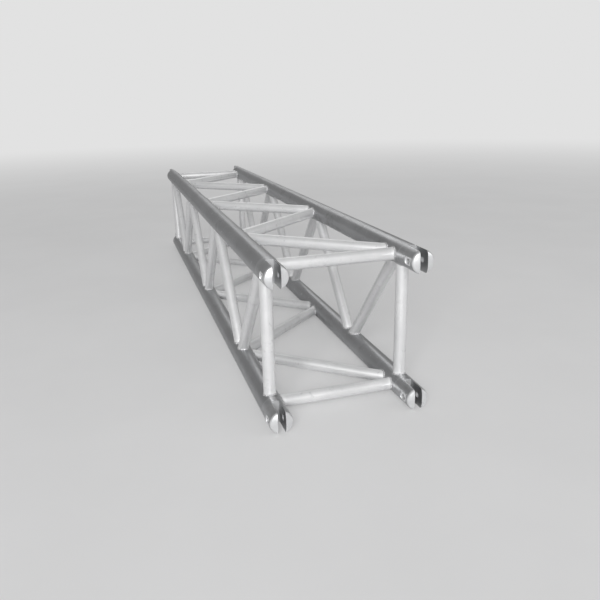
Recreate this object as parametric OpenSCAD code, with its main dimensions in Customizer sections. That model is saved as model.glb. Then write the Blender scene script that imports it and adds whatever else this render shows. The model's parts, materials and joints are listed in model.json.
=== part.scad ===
// Box truss section for stage rigging: four chord tubes on a square, laced on
// all four faces, with fork couplers at one end and tongue couplers at the other.
// +Y runs along the section from the forks to the tongues, +X is to the right
// and +Z is up. The origin is at the middle of the footprint, on the ground.

/* [Section] */
// Distance along the section from the pin holes of the forks to those of the tongues
pin_pitch = 1800; // [1500:10:2400]
// Distance between the chord centre lines, across and up
chord_spacing = 300; // [250:5:360]

/* [Chords] */
// Outside diameter of the chord tubes and of the couplers
chord_d = 50; // [41:0.5:60]
// Wall of the chord tubes
chord_wall = 3; // [2:0.1:5]
// Length of chord tube past the centre line of each end frame
chord_overrun = 28; // [22:1:34]

/* [Braces] */
// Outside diameter of every brace tube
brace_d = 26.9; // [20:0.1:33]
// Wall of the brace tubes
brace_wall = 2.6; // [1.6:0.1:4]
// Front frame to the first diagonal, along the chord centre line
first_gap = 20; // [14:1:40]
// Two diagonals that meet at a node, along the chord centre line
node_gap = 4; // [0:1:20]
// Last diagonal to the rear frame, along the chord centre line
last_gap = 28; // [14:1:40]

/* [Pin joint] */
// Diameter of the cross holes for the coupling pins
pin_hole_d = 12.5; // [8:0.5:16]
// Width of the slot in each fork
slot_w = 16.5; // [12:0.5:20]
// Clearance on each side of a tongue in its slot
side_clearance = 0.25; // [0.1:0.05:1]
// Gap between a fork nose and the shoulder it faces, and between a tongue tip and the slot root
end_clearance = 1; // [0.5:0.1:3]
// Pin hole centre to the tip of the fork
pin_to_nose = 24; // [15:0.5:32]
// Pin hole centre to the root of the slot
pin_to_root = 29; // [24:0.5:36]
// Diameter of the flat spot face around each pin hole
spot_face_d = 25; // [20:0.5:28]
// Depth of the spot face below the round of the fork
spot_face_depth = 1.5; // [0.5:0.1:3]

/* [Couplers] */
// End frame centre line to the slot root of a fork or to the shoulder of a tongue
collar_reach = 42; // [36:1:60]
// Length of the spigot that plugs into the chord tube
spigot_len = 30; // [15:1:60]
// Clearance around the spigot inside the tube
spigot_clearance = 0.15; // [0.05:0.05:0.5]
// Turned radius round the edge of a fork's nose
fork_rounding = 12; // [4:1:16]
// Radius of the crown on a fork's nose
fork_crown = 56; // [40:1:120]
// Chamfer on the tip of a tongue
nose_chamfer = 1.5; // [0.5:0.5:3]
// Chamfer on the mouth of a slot and on the end of a spigot
edge_chamfer = 1; // [0.5:0.5:2]

/* [Hidden] */
$fn = 96;
eps = 1;                       // how far a cutter runs past the surface it opens
sides = [-1, 1];
diagonals = 6;                 // in each face

chord_r = chord_d / 2;
tongue_w = slot_w - 2 * side_clearance;
spigot_d = chord_d - 2 * chord_wall - 2 * spigot_clearance;

// reaches measured outwards from the centre line of the nearer end frame
fork_pin = collar_reach + pin_to_root;
fork_nose = fork_pin + pin_to_nose;
tongue_pin = collar_reach + pin_to_nose + end_clearance;
tongue_tip = tongue_pin + pin_to_root - end_clearance;

// the top of the crown is lost in the slot, so the tip is where the chamfered mouth meets it
mouth_r = slot_w / 2 + edge_chamfer;
crown_top = fork_nose + fork_crown - sqrt(pow(fork_crown, 2) - pow(mouth_r, 2));

// stations along Y
frame_span = pin_pitch - fork_pin - tongue_pin;
overall = fork_nose + frame_span + tongue_tip;
front_y = fork_nose - overall / 2;
rear_y = front_y + frame_span;
diagonal_run = (frame_span - first_gap - last_gap - (diagonals - 1) * node_gap) / diagonals;

left = -1;
right = 1;
bottom = -1;
top = 1;
function chord_x(side) = side * chord_spacing / 2;
function chord_z(level) = chord_r + (level + 1) * chord_spacing / 2;
function diagonal_y(n) = front_y + first_gap + (n - 1) * (diagonal_run + node_gap);

// ---- shared shapes ----

// Round bar along +Y from y0 to y1.
module bar(y0, y1, d) {
    translate([0, y0, 0]) rotate([-90, 0, 0]) cylinder(h = y1 - y0, d = d);
}

// Round bar along +Y with a chamfer on its far end.
module nosed_bar(y0, y1, d, chamfer) {
    bar(y0, y1 - chamfer, d);
    translate([0, y1 - chamfer, 0]) rotate([-90, 0, 0])
        cylinder(h = chamfer, d1 = d, d2 = d - 2 * chamfer);
}

// Round bar along +Y whose far edge is turned to a large radius.
module rounded_bar(y0, y1, d, rounding) {
    reach = y1 - y0;
    translate([0, y0, 0]) rotate([-90, 0, 0])
        rotate_extrude() union() {
            square([d / 2 - rounding, reach]);
            square([d / 2, reach - rounding]);
            translate([d / 2 - rounding, reach - rounding]) circle(r = rounding);
        }
}

// Collar and spigot that both couplers share, +Y outwards from the end frame.
module coupler_root(reach) {
    bar(chord_overrun, reach, chord_d);
    mirror([0, 1, 0])
        nosed_bar(-chord_overrun, spigot_len - chord_overrun, spigot_d, edge_chamfer);
}

// Slot outline seen from above: straight walls and a chamfered mouth.
module slot_outline() {
    w = slot_w / 2;
    y0 = collar_reach;
    y1 = fork_nose - edge_chamfer;
    y2 = crown_top + eps;
    flare = w + y2 - y1;
    polygon([[-w, y0], [w, y0], [w, y1], [flare, y2], [-flare, y2], [-w, y1]]);
}

// ---- couplers, built with +Y outwards and the end frame at y = 0 ----

// Fork: a crowned nose cut by an upright slot, cross drilled and spot faced.
module fork_blank() {
    difference() {
        union() {
            coupler_root(collar_reach);
            intersection() {
                rounded_bar(collar_reach, crown_top, chord_d, fork_rounding);
                translate([0, crown_top - fork_crown, 0]) sphere(r = fork_crown);
            }
        }
        linear_extrude(height = chord_d + 2 * eps, center = true) slot_outline();
        translate([0, fork_pin, 0]) rotate([0, 90, 0]) {
            cylinder(h = chord_d + 2 * eps, d = pin_hole_d, center = true);
            for (s = sides)
                translate([0, 0, s * (chord_r - spot_face_depth + chord_r / 2)])
                    cylinder(h = chord_r, d = spot_face_d, center = true);
        }
    }
}

// Tongue: an upright plate on a round shoulder, cross drilled.
module tongue_blank() {
    difference() {
        union() {
            coupler_root(collar_reach);
            intersection() {
                nosed_bar(collar_reach - eps, tongue_tip, chord_d, nose_chamfer);
                translate([-tongue_w / 2, 0, -chord_d])
                    cube([tongue_w, tongue_tip + eps, 2 * chord_d]);
            }
        }
        translate([0, tongue_pin, 0]) rotate([0, 90, 0])
            cylinder(h = tongue_w + 2 * eps, d = pin_hole_d, center = true);
    }
}

// ---- sub-parts in place ----

module chord(side, level) {
    color([0.60, 0.61, 0.62])
        translate([chord_x(side), 0, chord_z(level)])
            difference() {
                bar(front_y - chord_overrun, rear_y + chord_overrun, chord_d);
                bar(front_y - chord_overrun - eps, rear_y + chord_overrun + eps,
                    chord_d - 2 * chord_wall);
            }
}

module fork(side, level) {
    color([0.93, 0.93, 0.94])
        translate([chord_x(side), front_y, chord_z(level)])
            mirror([0, 1, 0]) fork_blank();
}

module tongue(side, level) {
    color([0.88, 0.88, 0.89])
        translate([chord_x(side), rear_y, chord_z(level)]) tongue_blank();
}

// Brace tube between two points on chord centre lines, coped to both chords.
module brace(a, b) {
    v = b - a;
    reach = norm(v);
    color([0.90, 0.91, 0.92])
        difference() {
            translate(a) rotate([0, acos(v.z / reach), atan2(v.y, v.x)])
                difference() {
                    cylinder(h = reach, d = brace_d);
                    translate([0, 0, -eps])
                        cylinder(h = reach + 2 * eps, d = brace_d - 2 * brace_wall);
                }
            for (p = [a, b])
                translate(p) bar(-2 * chord_d, 2 * chord_d, chord_d);
        }
}

// Square brace of an end frame, across the top or bottom face.
module cross_brace(y, level) {
    z = chord_z(level);
    brace([chord_x(left), y, z], [chord_x(right), y, z]);
}

// Square brace of an end frame, up the left or right face.
module upright_brace(y, side) {
    x = chord_x(side);
    brace([x, y, chord_z(bottom)], [x, y, chord_z(top)]);
}

// Zig-zag of the top or bottom face: number 1 starts on the right-hand chord.
module flat_diagonal(n, level) {
    start = n % 2 == 1 ? right : left;
    y = diagonal_y(n);
    z = chord_z(level);
    brace([chord_x(start), y, z], [chord_x(-start), y + diagonal_run, z]);
}

// Zig-zag of the left or right face: number 1 starts on the upper chord.
module side_diagonal(n, side) {
    start = n % 2 == 1 ? top : bottom;
    y = diagonal_y(n);
    x = chord_x(side);
    brace([x, y, chord_z(start)], [x, y + diagonal_run, chord_z(-start)]);
}

chord(left, top);  // chord_top_left
chord(right, top);  // chord_top_right
chord(left, bottom);  // chord_bottom_left
chord(right, bottom);  // chord_bottom_right
fork(left, top);  // fork_top_left
fork(right, top);  // fork_top_right
fork(left, bottom);  // fork_bottom_left
fork(right, bottom);  // fork_bottom_right
tongue(left, top);  // tongue_top_left
tongue(right, top);  // tongue_top_right
tongue(left, bottom);  // tongue_bottom_left
tongue(right, bottom);  // tongue_bottom_right
cross_brace(front_y, top);  // brace_front_top
cross_brace(front_y, bottom);  // brace_front_bottom
upright_brace(front_y, left);  // brace_front_left
upright_brace(front_y, right);  // brace_front_right
cross_brace(rear_y, top);  // brace_rear_top
cross_brace(rear_y, bottom);  // brace_rear_bottom
upright_brace(rear_y, left);  // brace_rear_left
upright_brace(rear_y, right);  // brace_rear_right
flat_diagonal(1, top);  // diagonal_top_1
flat_diagonal(2, top);  // diagonal_top_2
flat_diagonal(3, top);  // diagonal_top_3
flat_diagonal(4, top);  // diagonal_top_4
flat_diagonal(5, top);  // diagonal_top_5
flat_diagonal(6, top);  // diagonal_top_6
flat_diagonal(1, bottom);  // diagonal_bottom_1
flat_diagonal(2, bottom);  // diagonal_bottom_2
flat_diagonal(3, bottom);  // diagonal_bottom_3
flat_diagonal(4, bottom);  // diagonal_bottom_4
flat_diagonal(5, bottom);  // diagonal_bottom_5
flat_diagonal(6, bottom);  // diagonal_bottom_6
side_diagonal(1, left);  // diagonal_left_1
side_diagonal(2, left);  // diagonal_left_2
side_diagonal(3, left);  // diagonal_left_3
side_diagonal(4, left);  // diagonal_left_4
side_diagonal(5, left);  // diagonal_left_5
side_diagonal(6, left);  // diagonal_left_6
side_diagonal(1, right);  // diagonal_right_1
side_diagonal(2, right);  // diagonal_right_2
side_diagonal(3, right);  // diagonal_right_3
side_diagonal(4, right);  // diagonal_right_4
side_diagonal(5, right);  // diagonal_right_5
side_diagonal(6, right);  // diagonal_right_6
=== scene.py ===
"""Looks of the box truss section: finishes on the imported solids, weld beads and a plain studio."""

import json
import logging
import math
from dataclasses import dataclass, field
from enum import Enum
from typing import Any, Dict, Iterable, List, Optional, Sequence, Tuple, Union

import bpy
from mathutils import Euler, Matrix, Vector

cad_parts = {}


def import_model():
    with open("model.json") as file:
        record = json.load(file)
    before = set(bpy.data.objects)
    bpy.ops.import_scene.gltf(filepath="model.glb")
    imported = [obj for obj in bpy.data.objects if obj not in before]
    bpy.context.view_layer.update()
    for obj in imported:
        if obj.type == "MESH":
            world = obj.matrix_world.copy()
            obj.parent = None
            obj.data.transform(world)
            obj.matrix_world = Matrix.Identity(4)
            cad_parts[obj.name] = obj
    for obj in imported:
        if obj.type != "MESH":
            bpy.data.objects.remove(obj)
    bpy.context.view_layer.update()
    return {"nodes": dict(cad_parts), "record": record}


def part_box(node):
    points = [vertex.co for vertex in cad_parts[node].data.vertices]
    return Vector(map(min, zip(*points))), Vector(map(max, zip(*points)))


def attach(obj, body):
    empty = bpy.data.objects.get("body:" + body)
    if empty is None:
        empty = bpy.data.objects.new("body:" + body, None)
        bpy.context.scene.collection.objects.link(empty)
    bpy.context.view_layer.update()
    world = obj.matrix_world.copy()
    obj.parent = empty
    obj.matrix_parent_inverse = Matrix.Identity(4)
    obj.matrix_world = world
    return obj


LOG = logging.getLogger("truss")
Colour = Tuple[float, float, float]
Place = Tuple[float, float, float]
Span = Tuple[float, float]
Key = Union[str, int]
WHITE: Colour = (1.0, 1.0, 1.0)
ACROSS = Vector((1.0, 0.0, 0.0))
ALONG = Vector((0.0, 1.0, 0.0))
UP = Vector((0.0, 0.0, 1.0))


# --------------------------------------------------------------------------
# Node trees
# --------------------------------------------------------------------------


class Sock:
    """One output of a node, used like a number in Python expressions."""

    def __init__(self, graph: "Graph", node: bpy.types.Node, out: Key = 0) -> None:
        """Point at one output.

        Args:
            graph: The graph that owns the node.
            node: The node.
            out: The output's name or index.
        """
        self.graph = graph
        self.node = node
        self.out = out

    @property
    def socket(self) -> bpy.types.NodeSocket:
        """The output socket itself."""
        return self.node.outputs[self.out]

    def output(self, out: Key) -> "Sock":
        """Another output of the same node."""
        return Sock(self.graph, self.node, out)

    def __add__(self, other: "Term") -> "Sock":
        """self + other."""
        return self.graph.math("ADD", self, other)

    __radd__ = __add__

    def __mul__(self, other: "Term") -> "Sock":
        """self * other."""
        return self.graph.math("MULTIPLY", self, other)

    __rmul__ = __mul__

    def __sub__(self, other: "Term") -> "Sock":
        """self - other."""
        return self.graph.math("SUBTRACT", self, other)

    def __rsub__(self, other: "Term") -> "Sock":
        """other - self."""
        return self.graph.math("SUBTRACT", other, self)

    def __abs__(self) -> "Sock":
        """Absolute value."""
        return self.graph.math("ABSOLUTE", self)

    def sin(self) -> "Sock":
        """Sine, in radians."""
        return self.graph.math("SINE", self)

    def sqrt(self) -> "Sock":
        """Square root."""
        return self.graph.math("SQRT", self)

    def least(self, other: "Term") -> "Sock":
        """The smaller of self and other."""
        return self.graph.math("MINIMUM", self, other)

    def most(self, other: "Term") -> "Sock":
        """The larger of self and other."""
        return self.graph.math("MAXIMUM", self, other)

    def clamp(self, low: float, high: float) -> "Sock":
        """self held between low and high."""
        return self.least(high).most(low)

    def step(self, start: float, end: float) -> "Sock":
        """Smooth step from 0 at start to 1 at end; start may lie above end.

        Args:
            start: Value that gives 0.
            end: Value that gives 1.

        Returns:
            A value from 0 to 1.
        """
        low, high = min(start, end), max(start, end)
        rise = self.graph.node(
            "ShaderNodeMapRange",
            {"interpolation_type": "SMOOTHSTEP"},
            {"Value": self, "From Min": low, "From Max": high},
        )
        return rise if start <= end else 1 - rise


Term = Union[Sock, float]


class Graph:
    """A node tree of any kind, empty at the start."""

    def __init__(self, tree: bpy.types.NodeTree) -> None:
        """Empty the tree."""
        self.tree = tree
        tree.nodes.clear()

    @classmethod
    def of(cls, owner: Union[bpy.types.Material, bpy.types.World]) -> "Graph":
        """The node tree of a material or a world."""
        owner.use_nodes = True
        return cls(owner.node_tree)

    @property
    def coords(self) -> Sock:
        """Object coordinates, in metres."""
        return self.node("ShaderNodeTexCoord", {}, {}, "Object")

    def node(
        self,
        kind: str,
        settings: Dict[str, Any],
        inputs: Dict[Key, Any],
        out: Key = 0,
    ) -> Sock:
        """Add one node.

        Args:
            kind: The node's type.
            settings: Properties set before the sockets, such as an operation.
            inputs: Input sockets by name or index, each a value or a Sock.
                A colour may be a triple.
            out: Which output to hand back, by name or index.

        Returns:
            The chosen output.
        """
        made = self.tree.nodes.new(kind)
        for key, value in settings.items():
            setattr(made, key, value)
        for key, value in inputs.items():
            target = made.inputs[key]
            if isinstance(value, Sock):
                self.tree.links.new(value.socket, target)
            elif target.type == "RGBA" and len(value) == 3:
                target.default_value = (*value, 1.0)
            else:
                target.default_value = value
        return Sock(self, made, out)

    def math(self, operation: str, *terms: Term) -> Sock:
        """A Math node on one or two terms."""
        return self.node("ShaderNodeMath", {"operation": operation}, dict(enumerate(terms)))

    def vector(self, operation: str, a: Sock, b: Any) -> Sock:
        """A Vector Math node on two vectors."""
        return self.node("ShaderNodeVectorMath", {"operation": operation}, {0: a, 1: b})

    def axes(self, vector: Sock) -> Tuple[Sock, Sock, Sock]:
        """The three parts of a vector."""
        split = self.node("ShaderNodeSeparateXYZ", {}, {0: vector})
        return split, split.output(1), split.output(2)

    def noise(
        self, vector: Sock, scale: float, detail: float = 3.0, rough: float = 0.5
    ) -> Sock:
        """Noise from 0 to 1, centred near a half.

        Args:
            vector: Where to read the noise.
            scale: Waves per metre.
            detail: Octaves.
            rough: Strength of the finer octaves.

        Returns:
            The noise value.
        """
        return self.node(
            "ShaderNodeTexNoise",
            {"normalize": True},
            {"Vector": vector, "Scale": scale, "Detail": detail, "Roughness": rough},
        )

    def tint(self, share: Term, a: Any, b: Any) -> Sock:
        """A colour between a and b.

        Args:
            share: 0 gives a and 1 gives b.
            a: First colour, as a triple or a Sock.
            b: Second colour, as a triple or a Sock.

        Returns:
            The mixed colour.
        """
        return self.node("ShaderNodeMix", {"data_type": "RGBA"}, {0: share, 6: a, 7: b}, 2)

    def surface(
        self,
        base: Any,
        roughness: Any,
        height: Optional[Sock] = None,
        depth: float = 0.0001,
        **others: Any,
    ) -> Sock:
        """A Principled surface.

        Args:
            base: Base colour, as a triple or a Sock.
            roughness: Roughness, as a number or a Sock.
            height: Height for the bump, from 0 to 1.
            depth: Metres that a height of 1 stands for.
            **others: Other sockets, each a number or a Sock, with _ for a space.

        Returns:
            The surface's shader.
        """
        inputs = {"Base Color": base, "Roughness": roughness}
        for key, value in others.items():
            inputs[key.replace("_", " ").title().replace("Ior", "IOR")] = value
        if height is not None:
            inputs["Normal"] = self.node(
                "ShaderNodeBump", {}, {"Distance": depth, "Height": height}
            )
        return self.node("ShaderNodeBsdfPrincipled", {}, inputs)


# --------------------------------------------------------------------------
# The section's plan
# --------------------------------------------------------------------------


class Face(Enum):
    """One long side of the section."""

    TOP = "top"
    BOTTOM = "bottom"
    LEFT = "left"
    RIGHT = "right"

    @property
    def flat(self) -> bool:
        """True for the top and bottom faces."""
        return self in (Face.TOP, Face.BOTTOM)


@dataclass
class Plan:
    """Where the section's centre lines run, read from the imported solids."""

    chord_r: float
    brace_r: float
    half_spacing: float
    mid_height: float
    tube_end: float
    fork_pin: float
    tongue_pin: float
    spot_r: float = 0.0125
    node_gap: float = 0.004

    @classmethod
    def read(cls, record: Dict[str, Any]) -> "Plan":
        """Read the plan.

        Args:
            record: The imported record, for the places of the pin holes.

        Returns:
            The plan, in metres.
        """
        chord_low, chord_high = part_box("chord_top_right")
        brace_low, brace_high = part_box("brace_front_top")
        base_low, base_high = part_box("chord_bottom_right")
        mounts = {mount["name"]: mount["pos_m"] for mount in record["mounts"]}
        top = (chord_low.z + chord_high.z) / 2
        bottom = (base_low.z + base_high.z) / 2
        return cls(
            chord_r=max(chord_high.x - chord_low.x, chord_high.z - chord_low.z) / 2,
            brace_r=max(brace_high.y - brace_low.y, brace_high.z - brace_low.z) / 2,
            half_spacing=(chord_low.x + chord_high.x) / 2,
            mid_height=(top + bottom) / 2,
            tube_end=chord_high.y,
            fork_pin=mounts["fork_pin_top_left_outer"][1],
            tongue_pin=mounts["tongue_pin_top_left"][1],
        )


@dataclass
class Foot:
    """One end of a brace: a point on the chord's line and the brace's direction away from it."""

    point: Vector
    along: Vector
    chord_r: float
    brace_r: float

    def path(self, points: int) -> List[Tuple[Vector, Vector]]:
        """The closed line where the two tubes meet.

        Args:
            points: How many points go round it.

        Returns:
            Pairs of a point and the unit direction out of the corner there.
        """
        outward = (self.along - ALONG * self.along.dot(ALONG)).normalized()
        side = ALONG.cross(outward)
        rim = side.cross(self.along).normalized()
        lift = self.along.dot(outward)
        line = []
        for k in range(points):
            turn = 2 * math.pi * k / points
            offset = self.brace_r * math.sin(turn)
            reach = math.sqrt(self.chord_r**2 - offset**2)
            run = (reach - self.brace_r * math.cos(turn) * rim.dot(outward)) / lift
            out = rim * math.cos(turn) + side * math.sin(turn)
            place = self.point + self.along * run + out * self.brace_r
            from_line = place - self.point
            radial = (from_line - ALONG * from_line.dot(ALONG)).normalized()
            line.append((place, (radial + out).normalized()))
        return line


# --------------------------------------------------------------------------
# Finishes
# --------------------------------------------------------------------------


class Metal:
    """Shared marks of used aluminium, drawn in one material."""

    def __init__(self, graph: Graph, plan: Plan) -> None:
        """Split the coordinates once.

        Args:
            graph: The material being drawn.
            plan: The section's centre lines.
        """
        self.graph = graph
        self.plan = plan
        self.x, self.y, self.z = graph.axes(graph.coords)

    def from_chord(self) -> Tuple[Sock, Sock, Sock]:
        """Offsets from the nearest chord line.

        Returns:
            The offset across, the offset up and the distance.
        """
        across = abs(self.x) - self.plan.half_spacing
        up = abs(self.z - self.plan.mid_height) - self.plan.half_spacing
        return across, up, (across * across + up * up).sqrt()

    def drift(self, size: float) -> Sock:
        """Slow unevenness of the surface, size metres across, from 0 to 1."""
        return self.graph.noise(self.graph.coords, 1.0 / size, rough=0.6)

    def spots(self, per_metre: float, detail: float, span: Span) -> Sock:
        """Scattered spots.

        Args:
            per_metre: Waves per metre of the noise behind them.
            detail: Octaves of that noise.
            span: Noise values at which a spot starts and at which it is full.

        Returns:
            0 on clean metal, up to 1 in a spot.
        """
        return self.graph.noise(self.graph.coords, per_metre, detail).step(*span)

    def grain(
        self, pitch: float, length: float, rough: float = 0.6, coords: Optional[Sock] = None
    ) -> Sock:
        """Fine lines drawn out along +Y.

        Args:
            pitch: Metres from one line to the next.
            length: Metres that a line runs for.
            rough: Strength of the finer octaves.
            coords: Other coordinates to draw on, such as turned ones.

        Returns:
            Noise from 0 to 1, even along a line.
        """
        squeeze = (1.0 / pitch, 1.0 / length, 1.0 / pitch)
        squeezed = self.graph.vector("MULTIPLY", coords or self.graph.coords, squeeze)
        return self.graph.noise(squeezed, 1.0, 2.0, rough)

    def scuffs(self, pitch: float, size: float, reach: float = 1 / 28) -> Sock:
        """Short rubbed lines round a tube, in patches.

        Args:
            pitch: Distance between lines along the tube.
            size: Size of a patch.
            reach: Metres that a line runs round the tube.

        Returns:
            0 on clean metal, up to 1 in a line.
        """
        lines = self.grain(reach, pitch, 0.7).step(0.60, 0.74)
        return lines * self.spots(1.0 / size, 1.0, (0.52, 0.66))


@dataclass(frozen=True)
class Mark:
    """How strongly one kind of mark shows in the tint, the roughness and the height."""

    tint: float = 0.0
    rough: float = 0.0
    height: float = 0.0


@dataclass(frozen=True)
class ChordFinishAndPaintedShade:
    """Extruded chord tube: die lines along it, clamp scuffs round it, a dressed weld at each end.
    Its dark and light tones are painted shade, far below the braces' tone though both are one
    aluminium.
    """

    # dark and light: painted shade, the chord's aluminium drawn much darker than the braces' same
    # metal
    dark: Colour = (0.40, 0.404, 0.412)
    light: Colour = (0.51, 0.514, 0.522)
    rubbed: Colour = (0.74, 0.744, 0.75)
    dirt: Colour = (0.27, 0.268, 0.266)
    shade_shift: float = -0.1
    shade_span: Span = (0.2, 0.9)
    roughness: float = 0.38
    rough_span: Span = (0.2, 0.75)
    metallic: float = 0.95
    relief: float = 0.00012
    die: Mark = Mark(0.45, 0.24, 0.55)
    die_pitch: float = 0.0011
    die_length: float = 0.6
    cloud: Mark = Mark(0.75, 0.26, 0.2)
    cloud_size: float = 0.09
    scuff: Mark = Mark(0.8, 0.08, -0.5)
    scuff_pitch: float = 0.0016
    scuff_patch: float = 0.11
    ding: Mark = Mark(0.5, 0.0, -0.6)
    dings_per_metre: float = 95.0
    ding_span: Span = (0.71, 0.77)
    grime: Mark = Mark(0.5, 0.1)
    grime_size: float = 0.035
    grime_span: Span = (0.56, 0.74)
    grime_field: float = 0.3
    grime_field_span: Span = (0.4, 0.6)
    seam: Mark = Mark(0.35, 0.06)
    seam_width: float = 0.0045
    seam_edge: float = 0.0015

    def build(self, plan: Plan) -> bpy.types.Material:
        """Make the material.

        Args:
            plan: The section's centre lines.

        Returns:
            The chord material.
        """
        material = bpy.data.materials.new("chord_tube")
        graph = Graph.of(material)
        metal = Metal(graph, plan)
        die = metal.grain(self.die_pitch, self.die_length)
        cloud = metal.drift(self.cloud_size)
        scuff = metal.scuffs(self.scuff_pitch, self.scuff_patch)
        ding = metal.spots(self.dings_per_metre, 1.0, self.ding_span)
        grime = metal.drift(self.grime_size).step(*self.grime_span)
        grime = grime * metal.drift(self.grime_field).step(*self.grime_field_span)
        past_seam = abs(metal.y) - plan.tube_end + self.seam_width
        seam = past_seam.step(-self.seam_edge, self.seam_edge)
        shade = cloud * self.cloud.tint + die * self.die.tint + self.shade_shift
        worn = (scuff * self.scuff.tint).most(ding * self.ding.tint)
        # base tone between dark and light, painted shade; the random cloud and die lines choose the
        # mix
        base = graph.tint(shade.step(*self.shade_span), self.dark, self.light)
        base = graph.tint(grime * self.grime.tint, base, self.dirt)
        base = graph.tint(worn, base, self.rubbed)
        base = graph.tint(seam * self.seam.tint, base, self.rubbed)
        rough = self.roughness + (cloud - 0.5) * self.cloud.rough + (die - 0.5) * self.die.rough
        rough = rough + scuff * self.scuff.rough + seam * self.seam.rough
        rough = (rough + grime * self.grime.rough).clamp(*self.rough_span)
        height = die * self.die.height + cloud * self.cloud.height
        height = height + scuff * self.scuff.height + ding * self.ding.height
        shader = graph.surface(base, rough, height, self.relief, metallic=self.metallic)
        graph.node("ShaderNodeOutputMaterial", {}, {"Surface": shader})
        return material


@dataclass(frozen=True)
class BraceFinish:
    """Drawn brace tube: lines along its own axis, a pale etched band beside each weld."""

    dark: Colour = (0.80, 0.803, 0.808)
    light: Colour = (0.90, 0.902, 0.905)
    etched: Colour = (0.92, 0.92, 0.92)
    smear: Colour = (0.62, 0.622, 0.626)
    shade_shift: float = -0.2
    shade_span: Span = (0.2, 0.9)
    roughness: float = 0.40
    rough_span: Span = (0.18, 0.8)
    metallic: float = 0.55
    relief: float = 0.00008
    line: Mark = Mark(0.6, 0.12, 0.5)
    line_pitch: float = 1 / 1400
    line_length: float = 0.2
    line_rough: float = 0.65
    cloud: Mark = Mark(0.8, 0.18, 0.2)
    cloud_size: float = 0.06
    smudge: Mark = Mark(0.35, 0.1)
    smudge_size: float = 0.022
    smudge_span: Span = (0.56, 0.76)
    scuff: Mark = Mark(0.4)
    scuffs_per_metre: float = 60.0
    scuff_span: Span = (0.66, 0.72)
    band: Mark = Mark(0.6, 0.16)
    band_full: float = 0.004
    band_end: float = 0.011

    def build(self, plan: Plan, name: str, turn: Euler) -> bpy.types.Material:
        """Make the material for braces that point one way.

        Args:
            plan: The section's centre lines.
            name: The material's name.
            turn: Rotation that brings the brace's axis on to +Y.

        Returns:
            The brace material.
        """
        material = bpy.data.materials.new(name)
        graph = Graph.of(material)
        metal = Metal(graph, plan)
        turned = graph.node(
            "ShaderNodeMapping",
            {"vector_type": "POINT"},
            {"Vector": graph.coords, "Rotation": turn},
        )
        line = metal.grain(self.line_pitch, self.line_length, self.line_rough, turned)
        _, _, distance = metal.from_chord()
        band = distance.step(plan.chord_r + self.band_end, plan.chord_r + self.band_full)
        cloud = metal.drift(self.cloud_size)
        smudge = metal.drift(self.smudge_size).step(*self.smudge_span)
        scuff = metal.spots(self.scuffs_per_metre, 2.0, self.scuff_span)
        shade = cloud * self.cloud.tint + line * self.line.tint + self.shade_shift
        worn = (smudge * self.smudge.tint).most(scuff * self.scuff.tint)
        base = graph.tint(shade.step(*self.shade_span), self.dark, self.light)
        base = graph.tint(worn, base, self.smear)
        base = graph.tint(band * self.band.tint, base, self.etched)
        rough = self.roughness + (cloud - 0.5) * self.cloud.rough + (line - 0.5) * self.line.rough
        rough = rough + band * self.band.rough + smudge * self.smudge.rough
        rough = rough.clamp(*self.rough_span)
        height = line * self.line.height + cloud * self.cloud.height
        shader = graph.surface(base, rough, height, self.relief, metallic=self.metallic)
        graph.node("ShaderNodeOutputMaterial", {}, {"Surface": shader})
        return material


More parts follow.
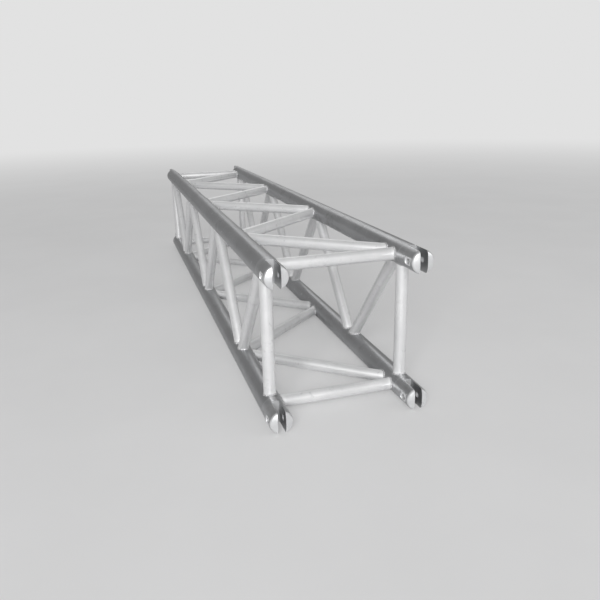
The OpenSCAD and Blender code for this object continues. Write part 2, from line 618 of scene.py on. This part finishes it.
@dataclass(frozen=True)
class CouplerFinish:
    """Turned and milled coupler: rings round the bar, facing rings on the nose, milled slot walls.

    Faces are told apart by their normals, given here as spans of one part of the normal. The
    barrel and the slot's walls get painted shade: they are darker than the tongue's sides, the
    spot faces and the noses, though all are one aluminium.
    """

    cut: Colour = (0.84, 0.845, 0.85)
    worn: Colour = (0.72, 0.725, 0.735)
    # side and its worn patches: the barrel's tone, painted shade like the chords', far darker than
    # the cut faces of the same aluminium
    side: Colour = (0.44, 0.445, 0.452)
    shaded_side_worn: Colour = (0.54, 0.545, 0.552)
    # slot wall shade: painted shade on the walls of the fork's slot
    slot_wall_shade: Colour = (0.42, 0.424, 0.43)
    bright: Colour = (0.92, 0.92, 0.92)
    end_normal: Span = (0.85, 0.97)
    nose_normal: Span = (0.12, 0.55)
    side_normal: Span = (0.97, 0.995)
    roughness: float = 0.36
    rough_span: Span = (0.16, 0.7)
    metallic: float = 0.68
    barrel_metallic: float = 0.25
    relief: float = 0.00004
    height_shift: float = 0.3
    tool: Mark = Mark(0.0, 0.03, 0.3)
    turned_rings: float = 9000.0
    faced_rings: float = 8200.0
    wobble: float = 0.9
    wobbles_per_metre: float = 240.0
    cloud: Mark = Mark(0.0, 0.2, 0.3)
    cloud_size: float = 0.03
    patch_span: Span = (0.3, 0.75)
    milled_patch: float = 0.7
    rub: Mark = Mark(0.35, 0.1)
    rub_pitch: float = 0.0012
    rub_patch: float = 0.05
    pin_wear: Mark = Mark(0.5, -0.06)
    # pin wear in slot: how far the pin's wear lifts the painted shade of the slot walls
    pin_wear_in_slot: float = 0.6
    pin_wear_full: float = 0.0068
    pin_wear_end: float = 0.0115

    def build(self, plan: Plan) -> bpy.types.Material:
        """Make the material.

        Args:
            plan: The section's centre lines.

        Returns:
            The coupler material.
        """
        material = bpy.data.materials.new("machined_coupler")
        graph = Graph.of(material)
        metal = Metal(graph, plan)
        across, up, distance = metal.from_chord()
        fork_run = metal.y - plan.fork_pin
        tongue_run = metal.y - plan.tongue_pin
        nearer_run = (fork_run * fork_run).least(tongue_run * tongue_run)
        from_pin = (nearer_run + up * up).sqrt()

        nx, ny, _ = graph.axes(graph.node("ShaderNodeNewGeometry", {}, {}, "Normal"))
        end_face = abs(ny).step(*self.end_normal)
        nose = abs(ny).step(*self.nose_normal)
        side_face = abs(nx).step(*self.side_normal)
        outside = abs(across).step(plan.chord_r * 0.8, plan.chord_r * 0.9)
        on_spot = side_face * outside * from_pin.step(plan.spot_r, plan.spot_r * 0.97)
        fork_end = metal.y.step(0.05, -0.05)
        flats = side_face * (1 - outside)
        milled_share = nose.most(on_spot).most(flats * (1 - fork_end))

        ripple = graph.noise(graph.coords, self.wobbles_per_metre, 2.0)
        wobble = (ripple - 0.5) * self.wobble
        turned = (metal.y * self.turned_rings + wobble).sin()
        faced = (distance * self.faced_rings + wobble).sin()
        spot = (from_pin * self.faced_rings + wobble).sin()
        tool = turned * (1 - end_face) + faced * end_face
        tool = tool * (1 - on_spot) + spot * on_spot
        cloud = metal.drift(self.cloud_size)
        rub = metal.scuffs(self.rub_pitch, self.rub_patch)
        pin_wear = from_pin.step(self.pin_wear_end, self.pin_wear_full)
        patch = cloud.step(*self.patch_span)

        milled = graph.tint(patch * self.milled_patch, self.cut, self.worn)
        # barrel: painted shade, darker than the milled faces
        barrel = graph.tint(patch, self.side, self.shaded_side_worn)
        base = graph.tint(milled_share, barrel, milled)
        # painted shade on the slot walls, lifted where the pin rubs
        slot_wall_shade_share = flats * fork_end * (1 - pin_wear * self.pin_wear_in_slot)
        base = graph.tint(slot_wall_shade_share, base, self.slot_wall_shade)
        shine = rub * self.rub.tint + pin_wear * on_spot * self.pin_wear.tint
        base = graph.tint(shine.least(1.0), base, self.bright)
        rough = self.roughness + (cloud - 0.5) * self.cloud.rough + tool * self.tool.rough
        rough = rough + rub * self.rub.rough + pin_wear * self.pin_wear.rough
        rough = rough.clamp(*self.rough_span)
        height = tool * self.tool.height + cloud * self.cloud.height + self.height_shift
        metallic = self.metallic + (1 - milled_share) * self.barrel_metallic
        shader = graph.surface(base, rough, height, self.relief, metallic=metallic)
        graph.node("ShaderNodeOutputMaterial", {}, {"Surface": shader})
        return material


@dataclass(frozen=True)
class WeldFinish:
    """Bright weld metal with a little smoke in its folds."""

    bead: Colour = (0.56, 0.562, 0.568)
    smoke: Colour = (0.32, 0.322, 0.328)
    roughness: float = 0.36
    metallic: float = 0.80
    relief: float = 0.00005
    soot: Mark = Mark(0.6, 0.25)
    soot_per_metre: float = 260.0
    soot_span: Span = (0.5, 0.8)
    grain: Mark = Mark(0.0, 0.1, 1.0)
    grains_per_metre: float = 1800.0

    def build(self) -> bpy.types.Material:
        """Make the material.

        Returns:
            The weld material.
        """
        material = bpy.data.materials.new("weld_bead")
        graph = Graph.of(material)
        soot = graph.noise(graph.coords, self.soot_per_metre, rough=0.6).step(*self.soot_span)
        grain = graph.noise(graph.coords, self.grains_per_metre, 2.0)
        base = graph.tint(soot * self.soot.tint, self.bead, self.smoke)
        rough = self.roughness + soot * self.soot.rough + (grain - 0.5) * self.grain.rough
        height = grain * self.grain.height
        shader = graph.surface(base, rough, height, self.relief, metallic=self.metallic)
        graph.node("ShaderNodeOutputMaterial", {}, {"Surface": shader})
        return material


@dataclass(frozen=True)
class FloorFinish:
    """Plain pale studio floor that fades into the backdrop far away."""

    pale: Colour = (0.72, 0.72, 0.725)
    deep: Colour = (0.685, 0.685, 0.69)
    mottles_per_metre: float = 2.2
    mottle_span: Span = (0.3, 0.7)
    roughness: float = 0.9
    sheen: float = 0.05
    lift: float = 0.35
    fade: Span = (1.2, 9.0)

    def build(self, backdrop: float) -> bpy.types.Material:
        """Make the material.

        Args:
            backdrop: Brightness of the backdrop.

        Returns:
            The floor material.
        """
        material = bpy.data.materials.new("studio_floor")
        graph = Graph.of(material)
        mottle = graph.noise(graph.coords, self.mottles_per_metre, 4.0, 0.55)
        base = graph.tint(mottle.step(*self.mottle_span), self.pale, self.deep)
        floor = graph.surface(base, self.roughness, specular_ior_level=self.sheen)
        x, y, _ = graph.axes(graph.coords)
        far = (x * x + y * y).sqrt().step(*self.fade)
        seen = graph.node("ShaderNodeLightPath", {}, {}, "Is Camera Ray")
        share = seen * (self.lift + far * (1 - self.lift))
        glow = graph.node("ShaderNodeEmission", {}, {"Color": WHITE, "Strength": backdrop})
        shader = graph.node("ShaderNodeMixShader", {}, {0: share, 1: floor, 2: glow})
        graph.node("ShaderNodeOutputMaterial", {}, {"Surface": shader})
        return material


# --------------------------------------------------------------------------
# Sub-assemblies
# --------------------------------------------------------------------------


def dress(piece: bpy.types.Object, material: bpy.types.Material) -> None:
    """Give a piece one material in all its slots.

    Args:
        piece: The object to dress.
        material: The finish.
    """
    if not piece.data.materials:
        piece.data.materials.append(material)
    for index in range(len(piece.data.materials)):
        piece.data.materials[index] = material
    LOG.info("dressed %s with %s", piece.name, material.name)


@dataclass
class Chords:
    """The four chord tubes."""

    nodes: Dict[str, bpy.types.Object]
    plan: Plan
    finish: ChordFinishAndPaintedShade = field(default_factory=ChordFinishAndPaintedShade)

    def build(self) -> None:
        """Dress every chord."""
        material = self.finish.build(self.plan)
        for name, piece in sorted(self.nodes.items()):
            if name.startswith("chord_"):
                dress(piece, material)


@dataclass
class Couplers:
    """The fork and tongue couplers."""

    nodes: Dict[str, bpy.types.Object]
    plan: Plan
    finish: CouplerFinish = field(default_factory=CouplerFinish)

    def build(self) -> None:
        """Dress every coupler."""
        material = self.finish.build(self.plan)
        for name, piece in sorted(self.nodes.items()):
            if name.startswith(("fork_", "tongue_")):
                dress(piece, material)


@dataclass
class Braces:
    """The end frames and the zig-zag of every face."""

    nodes: Dict[str, bpy.types.Object]
    plan: Plan
    finish: BraceFinish = field(default_factory=BraceFinish)

    def line(self, name: str) -> Tuple[Vector, Vector]:
        """The centre line of a brace, between the two chord lines.

        Args:
            name: The brace's node.

        Returns:
            Its two ends, the nearer the forks first.
        """
        low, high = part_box(name)
        middle = (low + high) / 2
        half = self.plan.half_spacing
        kind, first, second = name.split("_")
        if kind == "brace":
            reach = (ACROSS if Face(second).flat else UP) * half
            return middle - reach, middle + reach
        reach = (ACROSS if Face(first).flat else UP) * half
        if int(second) % 2 == 0:
            reach = -reach
        neighbour = f"{kind}_{first}_{int(second) + 1}"
        if neighbour not in self.nodes:
            neighbour = f"{kind}_{first}_{int(second) - 1}"
        near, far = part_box(neighbour)
        pitch = abs((near.y + far.y) / 2 - middle.y)
        run = ALONG * (pitch - self.plan.node_gap) / 2
        return middle + reach - run, middle - reach + run

    def names(self) -> List[str]:
        """Every brace's node, in order."""
        return sorted(name for name in self.nodes if name.startswith(("brace_", "diagonal_")))

    def build(self) -> None:
        """Dress every brace with lines along its own axis."""
        made: Dict[Tuple[float, ...], bpy.types.Material] = {}
        for name in self.names():
            start, end = self.line(name)
            along = (end - start).normalized()
            if along.x + along.y + along.z < 0:
                along = -along
            key = tuple(round(part, 2) for part in along)
            if key not in made:
                turn = along.rotation_difference(ALONG).to_euler()
                label = f"brace_tube_{len(made) + 1}"
                made[key] = self.finish.build(self.plan, label, turn)
            dress(self.nodes[name], made[key])


@dataclass
class WeldRuns:
    """Ripple beads laid round the foot of every brace."""

    braces: Braces
    plan: Plan
    pitch: float = 0.0019
    width: float = 0.0022
    height: float = 0.0015
    length: float = 0.0016
    stand_off: float = 0.0003
    points: int = 72
    segments: int = 10
    rings: int = 6
    least: Place = (0.92, 0.90, 0.88)
    most: Place = (1.08, 1.08, 1.10)
    seed: int = 11
    finish: WeldFinish = field(default_factory=WeldFinish)

    def feet(self, names: Iterable[str]) -> List[Foot]:
        """Find the feet of some braces.

        Args:
            names: The braces' nodes.

        Returns:
            Two feet for each brace.
        """
        feet = []
        for name in names:
            start, end = self.braces.line(name)
            along = (end - start).normalized()
            for point, way in ((start, along), (end, -along)):
                feet.append(Foot(point, way, self.plan.chord_r, self.plan.brace_r))
        return feet

    def seam_mesh(self, name: str, feet: Sequence[Foot]) -> bpy.types.Object:
        """One object that holds the closed seam line of every foot.

        Args:
            name: The object's name.
            feet: The feet to join round.

        Returns:
            A mesh of edges, with the way out of the corner stored as "lay".
        """
        points: List[Vector] = []
        lays: List[Vector] = []
        edges: List[Tuple[int, int]] = []
        for foot in feet:
            first = len(points)
            for place, lay in foot.path(self.points):
                points.append(place)
                lays.append(lay)
            edges += [(first + k, first + (k + 1) % self.points) for k in range(self.points)]
        mesh = bpy.data.meshes.new(name)
        mesh.from_pydata(points, edges, [])
        store = mesh.attributes.new("lay", "FLOAT_VECTOR", "POINT")
        for k, lay in enumerate(lays):
            store.data[k].vector = lay
        piece = bpy.data.objects.new(name, mesh)
        bpy.context.scene.collection.objects.link(piece)
        return piece

    def sizes(self) -> Dict[str, float]:
        """The sizes that the ripple tree takes.

        Returns:
            Metres, by the label of the tree's input.
        """
        return {
            "Ripple Pitch": self.pitch,
            "Ripple Width": self.width,
            "Ripple Height": self.height,
            "Ripple Length": self.length,
            "Stand Off": self.stand_off,
        }

    def tree(self, material: bpy.types.Material) -> bpy.types.GeometryNodeTree:
        """The node tree that lays ripples along a seam line.

        Args:
            material: The weld metal.

        Returns:
            A geometry node group with named inputs for the ripple's sizes.
        """
        group = bpy.data.node_groups.new("ripple_weld", "GeometryNodeTree")
        face = group.interface
        face.new_socket("Geometry", in_out="INPUT", socket_type="NodeSocketGeometry")
        for label, value in self.sizes().items():
            made = face.new_socket(label, in_out="INPUT", socket_type="NodeSocketFloat")
            made.default_value = value
        face.new_socket("Geometry", in_out="OUTPUT", socket_type="NodeSocketGeometry")

        graph = Graph(group)
        vectors = {"data_type": "FLOAT_VECTOR"}
        seam = graph.node("NodeGroupInput", {}, {})
        curve = graph.node("GeometryNodeMeshToCurve", {}, {0: seam})
        spaced = graph.node(
            "GeometryNodeCurveToPoints",
            {"mode": "LENGTH"},
            {"Curve": curve, "Length": seam.output("Ripple Pitch")},
        )
        lay = graph.node("GeometryNodeInputNamedAttribute", vectors, {"Name": "lay"})
        offset = graph.node(
            "ShaderNodeVectorMath",
            {"operation": "SCALE"},
            {0: lay, "Scale": seam.output("Stand Off")},
        )
        moved = graph.node("GeometryNodeSetPosition", {}, {"Geometry": spaced, "Offset": offset})
        kept = graph.node(
            "GeometryNodeStoreNamedAttribute",
            {**vectors, "domain": "POINT"},
            {"Geometry": moved, "Name": "run", "Value": spaced.output("Tangent")},
        )
        run = graph.node("GeometryNodeInputNamedAttribute", vectors, {"Name": "run"})
        aim = graph.node(
            "FunctionNodeAxesToRotation",
            {"primary_axis": "X", "secondary_axis": "Z"},
            {0: run, 1: lay},
        )
        drop = graph.node(
            "GeometryNodeMeshUVSphere",
            {},
            {"Segments": self.segments, "Rings": self.rings, "Radius": 1.0},
        )
        size = graph.node(
            "ShaderNodeCombineXYZ",
            {},
            {
                0: seam.output("Ripple Length"),
                1: seam.output("Ripple Width"),
                2: seam.output("Ripple Height"),
            },
        )
        uneven = graph.node(
            "FunctionNodeRandomValue",
            vectors,
            {0: self.least, 1: self.most, "Seed": self.seed},
        )
        laid = graph.node(
            "GeometryNodeInstanceOnPoints",
            {},
            {
                "Points": kept,
                "Instance": drop,
                "Rotation": aim,
                "Scale": graph.vector("MULTIPLY", size, uneven),
            },
        )
        real = graph.node("GeometryNodeRealizeInstances", {}, {0: laid})
        smooth = graph.node("GeometryNodeSetShadeSmooth", {}, {0: real})
        metal = graph.node("GeometryNodeSetMaterial", {}, {0: smooth, "Material": material})
        graph.node("NodeGroupOutput", {}, {0: metal})
        return group

    def lay(
        self,
        seam: bpy.types.Object,
        group: bpy.types.GeometryNodeTree,
        material: bpy.types.Material,
    ) -> bpy.types.Object:
        """Run the tree on a seam and keep the result as a plain mesh.

        Args:
            seam: The seam lines.
            group: The ripple tree.
            material: The weld metal.

        Returns:
            The finished weld piece.
        """
        name = seam.name
        modifier = seam.modifiers.new("ripples", "NODES")
        modifier.node_group = group
        sizes = self.sizes()
        for item in group.interface.items_tree:
            if item.in_out == "INPUT" and item.name in sizes:
                modifier[item.identifier] = sizes[item.name]
        evaluated = seam.evaluated_get(bpy.context.evaluated_depsgraph_get())
        mesh = bpy.data.meshes.new_from_object(evaluated)
        seam.modifiers.clear()
        edges = seam.data
        bpy.data.objects.remove(seam)
        bpy.data.meshes.remove(edges)
        for label in ("lay", "run"):
            if label in mesh.attributes:
                mesh.attributes.remove(mesh.attributes[label])
        mesh.name = name
        piece = bpy.data.objects.new(name, mesh)
        bpy.context.scene.collection.objects.link(piece)
        dress(piece, material)
        return piece

    def build(self) -> None:
        """Lay the welds of each end frame and of each face's zig-zag."""
        material = self.finish.build()
        group = self.tree(material)
        families = {"welds_front_frame": "brace_front_", "welds_rear_frame": "brace_rear_"}
        for face in Face:
            families[f"welds_{face.value}_lacing"] = f"diagonal_{face.value}_"
        for name, family in families.items():
            braces = [brace for brace in self.braces.names() if brace.startswith(family)]
            piece = self.lay(self.seam_mesh(name, self.feet(braces)), group, material)
            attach(piece, "root")
            LOG.info("laid %s: %d triangles", name, len(piece.data.polygons) * 2)


# --------------------------------------------------------------------------
# Studio
# --------------------------------------------------------------------------


@dataclass(frozen=True)
class Lamp:
    """One soft square lamp, aimed at the middle of the section."""

    name: str
    place: Place
    side: float
    power: float
    target: Place = (0.0, 0.0, 0.17)

    def build(self) -> None:
        """Hang the lamp."""
        light = bpy.data.lights.new(self.name, "AREA")
        light.shape = "RECTANGLE"
        light.size = self.side
        light.size_y = self.side
        light.energy = self.power
        lamp = bpy.data.objects.new(self.name, light)
        lamp.location = self.place
        aim = Vector(self.target) - Vector(self.place)
        lamp.rotation_euler = aim.to_track_quat("-Z", "Y").to_euler()
        bpy.context.scene.collection.objects.link(lamp)
        LOG.info("hung %s", self.name)


@dataclass
class Studio:
    """Floor, world, lamps and camera; the turn is in degrees and the lens in millimetres."""

    eye: Place = (-0.41888, -1.95459, 0.63203)
    turn: Place = (71.815, 1.3011, -17.273)
    lens: float = 36.2755
    sensor: float = 36.0
    sight: float = 200.0
    floor_half: float = 30.0
    world_light: float = 0.30
    backdrop: float = 0.76
    lamps: Tuple[Lamp, ...] = (
        Lamp("key", (-2.8, -6.8, 3.3), 3.4, 470.0),
        Lamp("fill", (5.0, -3.4, 2.4), 3.0, 55.0),
        Lamp("back_fill", (1.6, 6.2, 4.2), 3.0, 36.0),
    )
    finish: FloorFinish = field(default_factory=FloorFinish)

    def floor(self) -> None:
        """Lay the floor."""
        half = self.floor_half
        mesh = bpy.data.meshes.new("floor")
        mesh.from_pydata(
            [(-half, -half, 0), (half, -half, 0), (half, half, 0), (-half, half, 0)],
            [],
            [(0, 1, 2, 3)],
        )
        floor = bpy.data.objects.new("floor", mesh)
        bpy.context.scene.collection.objects.link(floor)
        dress(floor, self.finish.build(self.backdrop))

    def world(self) -> None:
        """An even grey room behind a paler backdrop."""
        world = bpy.data.worlds.new("studio")
        bpy.context.scene.world = world
        graph = Graph.of(world)
        seen = graph.node("ShaderNodeLightPath", {}, {}, "Is Camera Ray")
        kind = "ShaderNodeBackground"
        room = graph.node(kind, {}, {"Color": WHITE, "Strength": self.world_light})
        back = graph.node(kind, {}, {"Color": WHITE, "Strength": self.backdrop})
        both = graph.node("ShaderNodeMixShader", {}, {0: seen, 1: room, 2: back})
        graph.node("ShaderNodeOutputWorld", {}, {"Surface": both})

    def camera(self) -> None:
        """Set the camera at eye height beside the forks."""
        data = bpy.data.cameras.new("camera")
        data.lens = self.lens
        data.sensor_width = self.sensor
        data.clip_end = self.sight
        camera = bpy.data.objects.new("camera", data)
        camera.location = self.eye
        camera.rotation_euler = Euler([math.radians(angle) for angle in self.turn])
        bpy.context.scene.collection.objects.link(camera)
        bpy.context.scene.camera = camera

    def build(self) -> None:
        """Set up the whole studio."""
        bpy.context.scene.view_settings.view_transform = "Standard"
        self.camera()
        self.floor()
        self.world()
        for lamp in self.lamps:
            lamp.build()


def main() -> None:
    """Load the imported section, dress it and set up the studio."""
    logging.basicConfig(level=logging.INFO, format="%(name)s: %(message)s")
    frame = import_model()
    plan = Plan.read(frame["record"])
    LOG.info("plan: %s", plan)
    Studio().build()
    Chords(frame["nodes"], plan).build()
    Couplers(frame["nodes"], plan).build()
    braces = Braces(frame["nodes"], plan)
    braces.build()
    WeldRuns(braces, plan).build()


if __name__ == "__main__":
    main()
